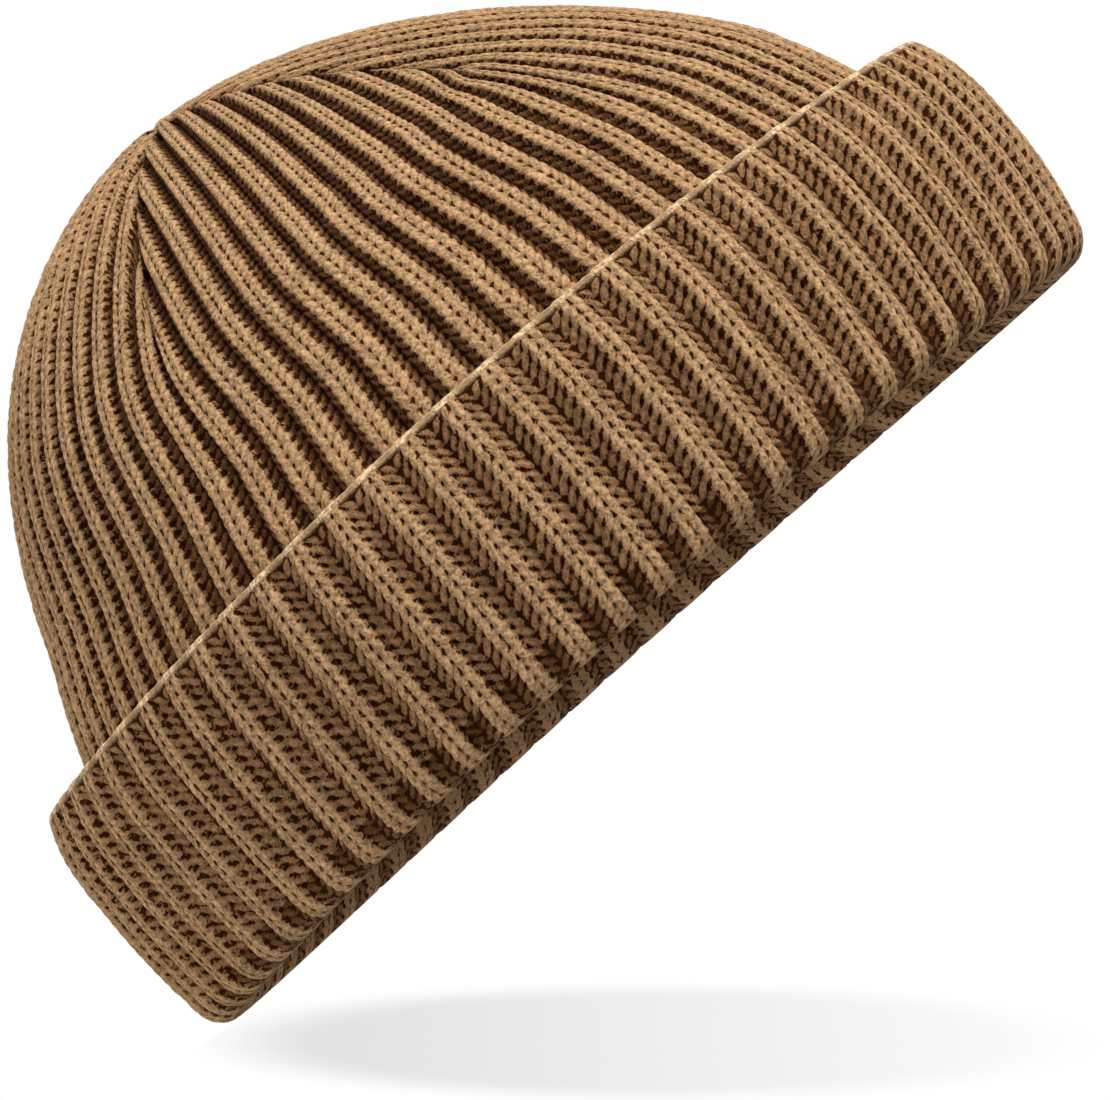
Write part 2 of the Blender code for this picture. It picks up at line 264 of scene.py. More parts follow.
def cuff_radius(height):
    """The turn-up: a parabola below its belly and a steeper power curve up to its lip."""
    drop = (CUFF_BELLY_HEIGHT - height) / (CUFF_BELLY_HEIGHT - FOLD_CENTRE_HEIGHT)
    rise = (height - CUFF_BELLY_HEIGHT) / (CUFF_HEIGHT - CUFF_BELLY_HEIGHT)
    return (CUFF_BELLY_RADIUS - CUFF_SWELL * np.maximum(drop, 0.0) ** 2
            - LIP_DRAW_IN * np.maximum(rise, 0.0) ** LIP_DRAW_POWER)


def path(radius, height):
    """A profile as rows of arc length, radius, height and the two parts of the outward normal."""
    length = np.concatenate([[0.0], np.cumsum(np.hypot(np.diff(radius), np.diff(height)))])
    along_r, along_z = np.gradient(radius, length), np.gradient(height, length)
    size = np.hypot(along_r, along_z)
    return np.stack([length, radius, height, along_z / size, -along_r / size])


def on_path(profile, length):
    """Radius, height and normal of a path at arc lengths."""
    return [np.interp(length, profile[0], row) for row in profile[1:]]


def running_mean(values, width):
    """Running mean over an odd number of values, with both ends held by turning the curve about them."""
    half = width // 2
    before = 2.0 * values[0] - values[half:0:-1]
    after = 2.0 * values[-1] - values[-2:-half - 2:-1]
    return np.convolve(np.concatenate([before, values, after]), np.ones(width) / width, "valid")


def fold_and_cuff_path():
    """Face one's ribs from inside the cap, down round the fold and up the cuff, with its corner rounded."""
    turn = np.linspace(math.pi, 0.0, FOLD_POINTS)
    rise = np.linspace(FOLD_CENTRE_HEIGHT, LIP_HEIGHT, PROFILE_POINTS)[1:]
    radius = np.concatenate([FOLD_CENTRE_RADIUS + FOLD_RADIUS * np.cos(turn), cuff_radius(rise)])
    height = np.concatenate([FOLD_CENTRE_HEIGHT - FOLD_RADIUS * np.sin(turn), rise])
    rough = path(radius, height)
    even = np.linspace(0.0, rough[0][-1], EVEN_POINTS)
    radius, height = on_path(rough, even)[:2]
    return path(running_mean(radius, ROUNDING_POINTS), running_mean(height, ROUNDING_POINTS))


def cap_path():
    """Up the outer face of the cap, from the fold to the tip."""
    low = np.linspace(FOLD_CENTRE_HEIGHT, DART_START_HEIGHT, PROFILE_POINTS)
    radius = np.linspace(crown_radius(DART_START_HEIGHT), 0.0, PROFILE_POINTS)[1:]
    return path(np.concatenate([body_radius(low), radius]), np.concatenate([low, crown_height(radius)]))


CUFF = fold_and_cuff_path()
CAP = cap_path()
DART_LENGTH = float(np.interp(DART_START_HEIGHT, CAP[2], CAP[0]))
HIDDEN_LENGTH = float(np.interp(HIDDEN_HEIGHT, CAP[2], CAP[0]))


# Placing

def place(radius, azimuth, height, lift):
    """Points (r sin a, -r cos a, h), slid over the dome towards the tip, slumped, lifted and swayed."""
    slid = smooth(TIP_SHIFT_START, CROWN_TOP, height)
    x = radius * np.sin(azimuth) + TIP_SHIFT_X * slid
    y = -radius * np.cos(azimuth) + TIP_SHIFT_Y * slid
    z = height + np.where(slid > 0.0, crown_height(np.hypot(x, y)) - crown_height(radius), 0.0)
    above = np.maximum(z - LEAN_START, 0.0)
    lean = LEAN_SLOPE * above * above / (above + LEAN_EASE)
    sway = SWAY * np.clip(1.0 - z / SWAY_FADE_HEIGHT, 0.0, 1.0) ** 2
    return np.stack([x - lean - sway, y, z + lift * np.cos(azimuth) ** 2], axis=-1)


def cuff_lift(height):
    """The fold's lift at the fold, growing evenly to the free edge's arch."""
    share = (height - FOLD_CENTRE_HEIGHT) / (LIP_HEIGHT - FOLD_CENTRE_HEIGHT)
    share = np.clip(share, 0.0, LIFT_GROWTH_LIMIT)
    return FOLD_LIFT + (FREE_EDGE_ARCH - FOLD_LIFT) * share


def body_lift(height):
    """The fold's lift, fading out up the cap."""
    return FOLD_LIFT * np.clip(1.0 - height / LIFT_FADE_HEIGHT, 0.0, 1.0)


# The course of the ribs

def grown_towards_darts(length):
    """The cube of the way from CROWD_START to the dart's start."""
    return np.clip((length - CROWD_START) / (DART_LENGTH - CROWD_START), 0.0, 1.0) ** 3


def even_ribs(length):
    """How many ribs of an even width fit between a gore's middle and its dart.

    Up to the dart's start the number falls a little, because the ribs beside the dart crowd together. Above
    it, it is the gore's half width over a rib width that shrinks steadily towards the tip.
    """
    half = np.interp(length, CAP[0], CAP[1]) * GORE_ANGLE / 2
    width = np.maximum(START_PITCH - PITCH_LOSS * (length - DART_LENGTH), LEAST_PITCH)
    start = float(np.interp(DART_LENGTH, CAP[0], CAP[1])) * GORE_ANGLE / 2 / START_PITCH
    low = HALF_RIBS - (HALF_RIBS - start) * grown_towards_darts(length)
    return np.where(length <= DART_LENGTH, low, half / width)


def rib_share(ribs, length, number):
    """A rib's share of the way from a gore's middle to a dart, and the share at which the dart cuts it off.

    With N even ribs to the dart of H in all, the rib lies at (ribs + shift t^3 + lean (H - N)) / N. At the
    dart's start the last rib has the share (H +- shift +- lean (H - N)) / N, a little over 1. Above the
    start most of the excess fades away, as the dart takes in the ribs that have crowded beside it.
    """
    count = even_ribs(length)
    start = even_ribs(np.array(DART_LENGTH))
    drift = RIB_SHIFTS[number] * grown_towards_darts(length) + RIB_LEANS[number] * (HALF_RIBS - count)
    side = np.where(ribs + drift < 0.0, -1.0, 1.0)
    low = (HALF_RIBS + side * drift) / count
    first = (HALF_RIBS + side * (RIB_SHIFTS[number] + RIB_LEANS[number] * (HALF_RIBS - start))) / start
    kept = 1.0 - CROWD_TAKEN_IN * smooth(DART_LENGTH, DART_LENGTH + CROWD_FADE, length)
    return (ribs + drift) / count, np.where(length <= DART_LENGTH, low, 1.0 + (first - 1.0) * kept)


def rib_azimuth(ribs, length, number):
    """Azimuth from a gore's middle of the line that runs a number of ribs beside it.

    With x the rib's share of the way and L the last rib's, the line lies at x up to 1 - w and then bends
    off by (L - 1) ((x - 1 + w) / (L - 1 + w))^2, so the last rib meets the dart at 1. The strip's width w
    is CROWD_REACH times L - 1.
    """
    share, last = rib_share(ribs, length, number)
    excess = last - 1.0
    strip = CROWD_REACH * excess + LEAST_CROWD_STRIP
    far = np.abs(share)
    far = far - excess * (np.maximum(far - 1.0 + strip, 0.0) / (excess + strip)) ** 2
    return np.sign(share) * np.minimum(far, 1.0) * GORE_ANGLE / 2


def rib_end(ribs, number):
    """Arc length at which a dart cuts off each line of ribs: where its share reaches the last one's."""
    end = float(np.interp(-TIP_RADIUS, -CAP[1], CAP[0]))
    length = np.linspace(DART_LENGTH, end, RIB_END_POINTS)[:, None]
    share, last = rib_share(ribs, length, number)
    past = np.abs(share) - last
    past[-1] = np.maximum(past[-1], TINY)
    after = np.argmax(past >= 0.0, axis=0)
    before = np.maximum(after - 1, 0)
    column = np.arange(len(ribs))
    gain = np.maximum(past[after, column] - past[before, column], TINY)
    rest = np.clip(-past[before, column] / gain, 0.0, 1.0)
    return length[before, 0] + (length[after, 0] - length[before, 0]) * np.where(after > 0, rest, 0.0)


# Stitches

LEG_SIZES = np.random.default_rng(SEED).random(LEG_SIZE_COUNT)


def leg(across, course, centre, half_width, fullness, sense, lane):
    """A lane of legs, one to a course: the roundness 1 - u^2 - v^2 of ellipses along slanted strands.

    u runs along the strand and v across it, in units of the leg's half length and half width. The strand's
    course moves by LEG_SHIFT over the width of the lane. Returns the roundness of the highest leg (0 where
    there is none) and the course on the strand.
    """
    u = (across - centre) / half_width
    strand = course + sense * 0.5 * LEG_SHIFT * u
    nearest = np.round(strand)
    best = np.zeros_like(strand)
    for step in (-1, 0, 1):
        row = nearest + step
        size = LEG_SIZES[(lane * LANE_STRIDE + row.astype(int) * COURSE_STRIDE) % LEG_SIZE_COUNT]
        inside = 1.0 - (u / LEG_REACH) ** 2 - ((strand - row) / fullness) ** 2
        best = np.maximum(best, np.sqrt(np.clip(inside, 0.0, 1.0)) * (1.0 - LEG_UNEVENNESS * size))
    return best, strand


def knit(pitch, course, share, depth, sense, leg_share=1.0):
    """Depth of a rib face below its highest point, with the painted shade of its furrows and gaps that its
    yarn's colour needs.

    pitch counts ribs, with whole numbers in the furrows. share is the part of a pitch that the rib takes.
    Two lanes of legs stand on the rib and two in the furrow. A rib leg's level sinks by RIB_SHOULDER of the
    depth towards the rib's edge. A furrow leg's starts FURROW_SIDE of the depth down and sinks by the rest
    towards the furrow's middle. The fabric's floor, a smooth step from one level to the other, shows where
    it is higher or where no leg is. leg_share is how much of their height the legs keep.
    """
    lane = np.floor(pitch).astype(int)
    across = pitch - lane - 0.5
    side = (across > 0).astype(int)
    rib_edge = share / 2.0
    rib_half = share / 4.0
    furrow_half = (1.0 - share) / 4.0
    furrow_centre = rib_edge + furrow_half
    right, right_strand = leg(across, course, rib_half, rib_half, RIB_LEG_FULLNESS, sense, lane * 4)
    left, left_strand = leg(-across, course, rib_half, rib_half, RIB_LEG_FULLNESS, sense, lane * 4 + 1)
    deep, deep_strand = leg(np.abs(across), course, furrow_centre, furrow_half, FURROW_LEG_FULLNESS, sense,
                            lane * 4 + 2 + side)
    rib = np.maximum(right, left)
    far = np.abs(across)
    rib_leg = RIB_LEG_HEIGHT * leg_share
    furrow_leg = FURROW_LEG_HEIGHT * leg_share
    floor_down, rib_down, dark = (smooth(low * share, high * share, far)
                                  for low, high in (FLOOR_STEP, RIB_STEP, PAINTED_SHADE_STEP))
    furrow_down = FURROW_SIDE + FURROW_BELLY * smooth(rib_edge, 0.5, far)
    floor = -depth * floor_down - rib_leg
    rib_top = -RIB_SHOULDER * depth * rib_down - rib_leg * (1.0 - rib)
    furrow_top = -depth * furrow_down - furrow_leg * (1.0 - deep)
    height = np.where(rib > 0.0, np.maximum(floor, rib_top), floor)
    height = np.where(deep > 0.0, np.maximum(height, furrow_top), height)
    on_rib = (rib > 0.0) & (rib_top >= furrow_top)
    strand = np.where(on_rib, np.where(right >= left, right_strand, left_strand), deep_strand)
    roundness = np.where(on_rib, rib, deep)
    # Painted shade: darker the deeper a point lies in the furrow; the gap field darkens the cracks between
    # the legs
    painted_shade = smooth(0.0, 1.0, np.clip(-height / depth, 0.0, 1.0)) * dark
    return -height, {"painted_shade": painted_shade, "gap": 1.0 - roundness, "strand": strand, "across": across}


def pressed(length):
    """How far face one's ribs are pressed together: 0 on the cuff and up inside, 1 round the fold.

    length runs along face one. It is 0 where the fold meets the cuff, grows up the cuff and falls down
    round the fold and up inside. The value is a smooth step of the way down, times 1 less a smooth step of
    the way up inside.
    """
    near = smooth(PRESS_RANGE[0] * FOLD_LENGTH, PRESS_RANGE[1] * FOLD_LENGTH, -length)
    return near * (1.0 - smooth(0.0, PRESS_LENGTH, -FOLD_LENGTH - length))


def knit_one(pitch, length, share):
    """Face one at a length along it: nearly flat round the fold, and darkened to mid-brown by painted shade
    from there on inwards.
    """
    squeeze = pressed(length)
    depth = RIB_DEPTH * (1.0 - PRESS_FLATTENING * squeeze)
    dip, fields = knit(pitch, length / COURSE, share + PRESS_WIDENING * squeeze, depth, 1.0,
                       1.0 - PRESS_LEG_LOSS * squeeze)
    inward = smooth(INSIDE_SHADE_RANGE[0] * FOLD_LENGTH, INSIDE_SHADE_RANGE[1] * FOLD_LENGTH, -length)
    # Painted shade: eased where the ribs are pressed round the fold, and a mid-brown painted shade on the
    # cap's inside, where the painted shade of the gaps eases a little
    fields["painted_shade"] = np.maximum(fields["painted_shade"] * (1.0 - PRESS_SHADE_EASING * squeeze), INSIDE_PAINTED_SHADE * inward)
    fields["gap"] = fields["gap"] * (1.0 - INSIDE_GAP_SHADE_LOSS * inward)
    return dip, fields


def joined(front, back):
    """Fields of the outer sheet, then those of the inner one from its top row down."""
    return {key: np.concatenate([front[key], back[key][::-1]]) for key in front}


def plain_fields(like):
    """The fields of a face that nobody sees: painted shade, dark all over."""
    dark, zero = np.ones_like(like), np.zeros_like(like)
    return {"painted_shade": dark, "gap": dark, "strand": zero, "across": zero}


def sheet(profile, length, azimuth, offset, dip, outward, lift):
    """Points of a face: offset + outward * dip below a profile, measured along its normal."""
    radius, height, normal_r, normal_z = on_path(profile, length)
    below = offset + outward * dip
    level = height - below * normal_z
    return place(radius - below * normal_r, azimuth, level, lift(level))


# Meshes

def solid(name, points, quads, triangles, fields, sharp_marks, material):
    """A mesh from points and faces, with its fields. An edge between two equal marks above 0 stays sharp."""
    corners = np.concatenate([quads.ravel(), triangles.ravel()])
    starts = np.concatenate([
        np.arange(len(quads)) * 4,
        len(quads) * 4 + np.arange(len(triangles)) * 3])
    mesh = bpy.data.meshes.new(name)
    mesh.vertices.add(len(points))
    mesh.vertices.foreach_set("co", points.ravel())
    mesh.loops.add(len(corners))
    mesh.loops.foreach_set("vertex_index", corners)
    mesh.polygons.add(len(starts))
    mesh.polygons.foreach_set("loop_start", starts)
    mesh.update(calc_edges=True)
    mesh.shade_smooth()
    pairs = np.zeros(len(mesh.edges) * 2, int)
    mesh.edges.foreach_get("vertices", pairs)
    first, second = pairs.reshape(-1, 2).T
    sharp = np.zeros(len(first), bool)
    for mark in sharp_marks:
        sharp |= (mark[first] > 0) & (mark[first] == mark[second])
    mesh.attributes.new("sharp_edge", "BOOLEAN", "EDGE").data.foreach_set("value", sharp)
    for key in ("painted_shade", "gap"):
        mesh.attributes.new(key, "FLOAT", "POINT").data.foreach_set("value", fields[key].ravel())
    uv = np.stack([fields["across"].ravel(), fields["strand"].ravel()], axis=1)[corners]
    mesh.uv_layers.new(name="strand").data.foreach_set("uv", uv.ravel())
    mesh.materials.append(material)
    piece = bpy.data.objects.new(name, mesh)
    bpy.context.scene.collection.objects.link(piece)
    return piece


def loft(name, outer, inner, fields, closed_round, material):
    """A solid from two sheets of points: up the outer one, over, and down the inner one.

    The rows of both sheets form one ring of rows, and their columns go round the cap. Where the sheets don't
    close on themselves, each end is filled with triangles zipped between the two columns. fields holds
    values for every point of the outer sheet, and the inner one's follow, top row first.
    """
    rows_out, columns = outer.shape[:2]
    rows_in = inner.shape[0]
    rows = rows_out + rows_in
    index = np.arange(rows * columns).reshape(rows, columns)
    here = index if closed_round else index[:, :-1]
    beside = np.roll(index, -1, axis=1) if closed_round else index[:, 1:]
    quads = np.stack([here, beside, np.roll(beside, -1, axis=0), np.roll(here, -1, axis=0)], axis=-1)
    triangles = np.zeros((0, 3), int)
    rims = np.zeros((rows, columns), int)
    rims[[0, rows_out - 1, rows_out, rows - 1], :] = [[1], [2], [3], [4]]
    ends = np.zeros((rows, columns), int)
    if not closed_round:
        segment = np.arange(rows_out - 1)
        partner = np.rint(segment * (rows_in - 1) / (rows_out - 2)).astype(int)
        turn = np.nonzero(np.diff(partner))[0]
        zipped = np.concatenate([
            np.stack([segment, segment + 1, rows - 1 - partner], axis=1),
            np.stack([turn + 1, rows - 1 - partner[turn + 1], rows - 1 - partner[turn]], axis=1)])
        triangles = np.concatenate([index[:, 0][zipped], index[:, -1][zipped[:, ::-1]]])
        ends[:, [0, -1]] = [1, 2]
    points = np.concatenate([outer, inner[::-1]]).reshape(-1, 3)
    sharp_marks = (rims.ravel(), ends.ravel())
    return solid(name, points, quads.reshape(-1, 4), triangles, fields, sharp_marks, material)


def close_up(piece):
    """Merges the points that fall together where a sheet runs out to a corner."""
    shape = bmesh.new()
    shape.from_mesh(piece.data)
    bmesh.ops.remove_doubles(shape, verts=shape.verts, dist=WELD_DISTANCE)
    bmesh.ops.dissolve_degenerate(shape, edges=shape.edges, dist=LEAST_EDGE)
    shape.to_mesh(piece.data)
    shape.free()


def tube(name, rings, fields, material):
    """A closed tube from rings of points, with a point in the middle of each end."""
    rows, columns = rings.shape[:2]
    index = np.arange(rows * columns).reshape(rows, columns)
    beside = np.roll(index, -1, axis=1)
    quads = np.stack([index[:-1], beside[:-1], beside[1:], index[1:]], axis=-1).reshape(-1, 4)
    low, high = rows * columns, rows * columns + 1
    triangles = np.concatenate([
        np.stack([beside[0], index[0], np.full(columns, low)], axis=1),
        np.stack([index[-1], beside[-1], np.full(columns, high)], axis=1)])
    points = np.concatenate([rings.reshape(-1, 3), rings[:1].mean(axis=1), rings[-1:].mean(axis=1)])
    fields = {key: np.concatenate([value.ravel(), value[0, :1], value[-1, :1]])
              for key, value in fields.items()}
    return solid(name, points, quads, triangles, fields, (), material)


def dress(piece, node):
    """Sets a piece on the cap in place of a solid."""
    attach(piece, "root")
    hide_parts(node)


# Finishes

# The camel yarn's own colour on the tops of the legs, then its painted half shade and painted deep shade for
# the furrows and gaps
CAMEL = (0.500, 0.302, 0.150, 1.0)
CAMEL_HALF_SHADE = (0.200, 0.090, 0.034, 1.0)
CAMEL_DEEP_SHADE = (0.030, 0.008, 0.001, 1.0)
# A paler camel: a painted highlight along the cast-on edge
CAMEL_EDGE_HIGHLIGHT = (0.700, 0.490, 0.280, 1.0)
SEAM_BROWN = (0.300, 0.170, 0.080, 1.0)

# The fuzz, patches and fibres on it: their scales, how they fray the edges of the painted shade and how they
# mottle the rest
FIBRE_STRETCH = (14.0, 8.0, 1.0)
FUZZ_SCALE = 1300.0
FUZZ_RANGE = (0.28, 0.72)
PATCH_SCALE = 120.0
FRAYING = 0.45
# Where the painted shade of the furrows and of the gaps sets in, and where it turns to the half shade and
# the deep shade
FURROW_RANGE = (0.25, 0.80)
GAP_RANGE = (0.36, 0.80)
MIDDLE_RANGE = (0.0, 0.62)
DARK_RANGE = (0.50, 1.0)
FUZZ_MOTTLE = 1.05
PATCH_MOTTLE = 0.30
FIBRE_MOTTLE = 0.75
MOTTLE_LOSS = 0.02
FUZZ_BUMP = 0.6
FIBRE_BUMP = 0.4


def knitted_yarn_group():
    """Colour and bump of spun yarn: painted shade, dark in the gaps and the furrows, mottled and fibrous on
    the legs.
    """
    tree = bpy.data.node_groups.new("knitted_yarn", "ShaderNodeTree")
    for name, kind, side in (("Light", "Color", "INPUT"), ("Middle", "Color", "INPUT"),
                             ("Dark", "Color", "INPUT"), ("Furrow", "Float", "INPUT"),
                             ("Gap", "Float", "INPUT"), ("Color", "Color", "OUTPUT"),
                             ("Height", "Float", "OUTPUT")):
        tree.interface.new_socket(name=name, in_out=side, socket_type="NodeSocket" + kind)
    nodes, links = tree.nodes, tree.links
    enter, leave = nodes.new("NodeGroupInput"), nodes.new("NodeGroupOutput")

    def maths(operation, first, second, clamp=False):
        node = nodes.new("ShaderNodeMath")
        node.operation = operation
        node.use_clamp = clamp
        for place_in, value in zip(node.inputs, (first, second)):
            if hasattr(value, "is_linked"):
                links.new(value, place_in)
            else:
                place_in.default_value = value
        return node.outputs[0]

    def step(low, high, value):
        node = nodes.new("ShaderNodeMapRange")
        node.interpolation_type = "SMOOTHSTEP"
        node.inputs["From Min"].default_value = low
        node.inputs["From Max"].default_value = high
        links.new(value, node.inputs["Value"])
        return node.outputs["Result"]

    def noise(scale, detail, vector):
        node = nodes.new("ShaderNodeTexNoise")
        node.inputs["Scale"].default_value = scale
        node.inputs["Detail"].default_value = detail
        links.new(vector, node.inputs["Vector"])
        return node.outputs["Fac"]

    def mix(factor, first, second, kind="MIX"):
        node = nodes.new("ShaderNodeMix")
        node.data_type = "RGBA"
        node.blend_type = kind
        if hasattr(factor, "is_linked"):
            links.new(factor, node.inputs["Factor"])
        else:
            node.inputs["Factor"].default_value = factor
        links.new(first, node.inputs["A"])
        links.new(second, node.inputs["B"])
        return node.outputs["Result"]

    painted_shade, gap = nodes.new("ShaderNodeAttribute"), nodes.new("ShaderNodeAttribute")
    painted_shade.attribute_name, gap.attribute_name = "painted_shade", "gap"
    where = nodes.new("ShaderNodeTexCoord")
    strand = nodes.new("ShaderNodeUVMap")
    strand.uv_map = "strand"
    stretch = nodes.new("ShaderNodeMapping")
    stretch.inputs["Scale"].default_value = FIBRE_STRETCH
    links.new(strand.outputs["UV"], stretch.inputs["Vector"])

    fibre = noise(1.0, 2.0, stretch.outputs["Vector"])
    fuzz = step(*FUZZ_RANGE, noise(FUZZ_SCALE, 3.0, where.outputs["Object"]))
    patch = noise(PATCH_SCALE, 2.0, where.outputs["Object"])

    # Painted shade, frayed by the fuzz: the furrows and the cracks between the legs turn to the half shade
    # and then the deep shade
    ragged = maths("MULTIPLY", maths("SUBTRACT", fuzz, 0.5), FRAYING)
    deep = step(*FURROW_RANGE, maths("ADD", painted_shade.outputs["Fac"], ragged))
    crack = step(*GAP_RANGE, maths("ADD", gap.outputs["Fac"], ragged))
    dark = maths("ADD", maths("MULTIPLY", deep, enter.outputs["Furrow"]),
                 maths("MULTIPLY", crack, enter.outputs["Gap"]), True)
    tone = mix(step(*MIDDLE_RANGE, dark), enter.outputs["Light"], enter.outputs["Middle"])
    tone = mix(step(*DARK_RANGE, dark), tone, enter.outputs["Dark"])
    mottle = maths("ADD", maths("MULTIPLY", fuzz, FUZZ_MOTTLE), maths("MULTIPLY", patch, PATCH_MOTTLE))
    mottle = maths("ADD", mottle, maths("MULTIPLY", fibre, FIBRE_MOTTLE))
    gain = maths("SUBTRACT", mottle, MOTTLE_LOSS)
    bumps = maths("ADD", maths("MULTIPLY", fuzz, FUZZ_BUMP), maths("MULTIPLY", fibre, FIBRE_BUMP))
    links.new(mix(1.0, tone, gain, "MULTIPLY"), leave.inputs["Color"])
    links.new(bumps, leave.inputs["Height"])
    return tree


KNITTED_YARN = knitted_yarn_group()


def yarn_finish(name, light, furrow, gap):
    """A matt wool-like yarn with a soft sheen, from how much painted shade its furrows and its gaps get."""
    material = bpy.data.materials.new(name)
    material.use_nodes = True
    nodes, links = material.node_tree.nodes, material.node_tree.links
    shader = nodes["Principled BSDF"]
    shader.inputs["Roughness"].default_value = 0.95
    shader.inputs["Specular IOR Level"].default_value = 0.04
    shader.inputs["Sheen Weight"].default_value = 0.02
    shader.inputs["Sheen Roughness"].default_value = 0.6
    group = nodes.new("ShaderNodeGroup")
    group.node_tree = KNITTED_YARN
    for key, value in (("Light", light), ("Middle", CAMEL_HALF_SHADE), ("Dark", CAMEL_DEEP_SHADE),
                       ("Furrow", furrow), ("Gap", gap)):
        group.inputs[key].default_value = value
    bump = nodes.new("ShaderNodeBump")
    bump.inputs["Strength"].default_value = 0.8
    bump.inputs["Distance"].default_value = 0.30 * MM
    links.new(group.outputs["Color"], shader.inputs["Base Color"])
    links.new(group.outputs["Height"], bump.inputs["Height"])
    links.new(bump.outputs["Normal"], shader.inputs["Normal"])
    return material


# Copies of the one camel yarn that differ in how much painted shade their furrows and gaps get
cuff_finish = yarn_finish("camel_cuff_knit", CAMEL, 0.34, 1.0)
crown_finish = yarn_finish("camel_crown_knit", CAMEL, 0.60, 0.95)
fold_finish = yarn_finish("camel_fold_knit", CAMEL, 0.70, 0.80)
edge_finish = yarn_finish("camel_cast_on", CAMEL_EDGE_HIGHLIGHT, 0.4, 0.5)
seam_finish = yarn_finish("brown_seam_yarn", SEAM_BROWN, 0.4, 0.6)


# The pieces

def pitch_of(azimuth):
    """Ribs counted from the first dart's furrow on face two; face one is half a pitch on."""
    return (azimuth - DART_AZIMUTH) / PITCH_ANGLE


def cuff_sector(number):
    """Azimuths of the columns of a fifth of the cuff, from furrow to furrow."""
    return DART_AZIMUTH + PITCH_ANGLE / 2 + GORE_ANGLE * (
        number + np.linspace(0.0, 1.0, GORE_RIBS * CELLS_PER_PITCH + 1))


def rows_between(low, high, step):
    """Evenly spaced lengths from low to high, about a step apart."""
    return np.linspace(low, high, max(int(round((high - low) / step)), 2) + 1)


def grid(length, around):
    """Every length with every place round the cap: a row for each length."""
    return np.meshgrid(length, around, indexing="ij")


def make_cuff():
    """The turn-up in five pieces: the knitted outer face over a plain ribbed back."""
    top = CUFF[0][-1]
    for number, side in enumerate(GORE_SIDES):
        length, around = grid(rows_between(FOLD_LENGTH, top, ROW_STEP), cuff_sector(number))
        dip, front = knit_one(pitch_of(around) + 0.5, length - FOLD_LENGTH, CUFF_SHARE)
        dip = dip * (1.0 - LIP_EASE * smooth(top - LIP_EASE_LENGTH, top, length))
        outer = sheet(CUFF, length, around, 0.0, dip, 1.0, cuff_lift)
        length, around = grid(rows_between(FOLD_LENGTH, top, HIDDEN_STEP), cuff_sector(number))
        dip, back = knit(pitch_of(around), length / COURSE, CROWN_SHARE, RIB_DEPTH, -1.0)
        inner = sheet(CUFF, length, around, RIBBED_THICKNESS, dip, -1.0, cuff_lift)
        piece = loft("turn_up_" + side, outer, inner, joined(front, back), False, cuff_finish)
        dress(piece, "turn_up")


def make_fold():
    """The turn of the fabric: its ribs run on from the cuff, down round the fold and up inside.

    Its lowest stretch is held up to the level that it stands on, at the place's own lift.
    """
    for number, side in enumerate(GORE_SIDES):
        length, around = grid(rows_between(0.0, FOLD_LENGTH, ROW_STEP), cuff_sector(number))
        dip, front = knit_one(pitch_of(around) + 0.5, length - FOLD_LENGTH, CUFF_SHARE)
        outer = sheet(CUFF, length, around, 0.0, dip, 1.0, cuff_lift)
        settle = cuff_lift(0.0) * np.cos(around) ** 2
        outer[..., 2] = np.maximum(outer[..., 2] - settle, 0.0) + settle
        turn, around = grid(np.linspace(math.pi, 0.0, FOLD_BACK_ROWS), cuff_sector(number))
        height = FOLD_CENTRE_HEIGHT - FOLD_CORE_RADIUS * np.sin(turn)
        radius = FOLD_CENTRE_RADIUS + FOLD_CORE_RADIUS * np.cos(turn)
        inner = place(radius, around, height, cuff_lift(height))
        fields = joined(front, plain_fields(turn))
        piece = loft("fold_roll_" + side, outer, inner, fields, False, fold_finish)
        dress(piece, "fold_roll")


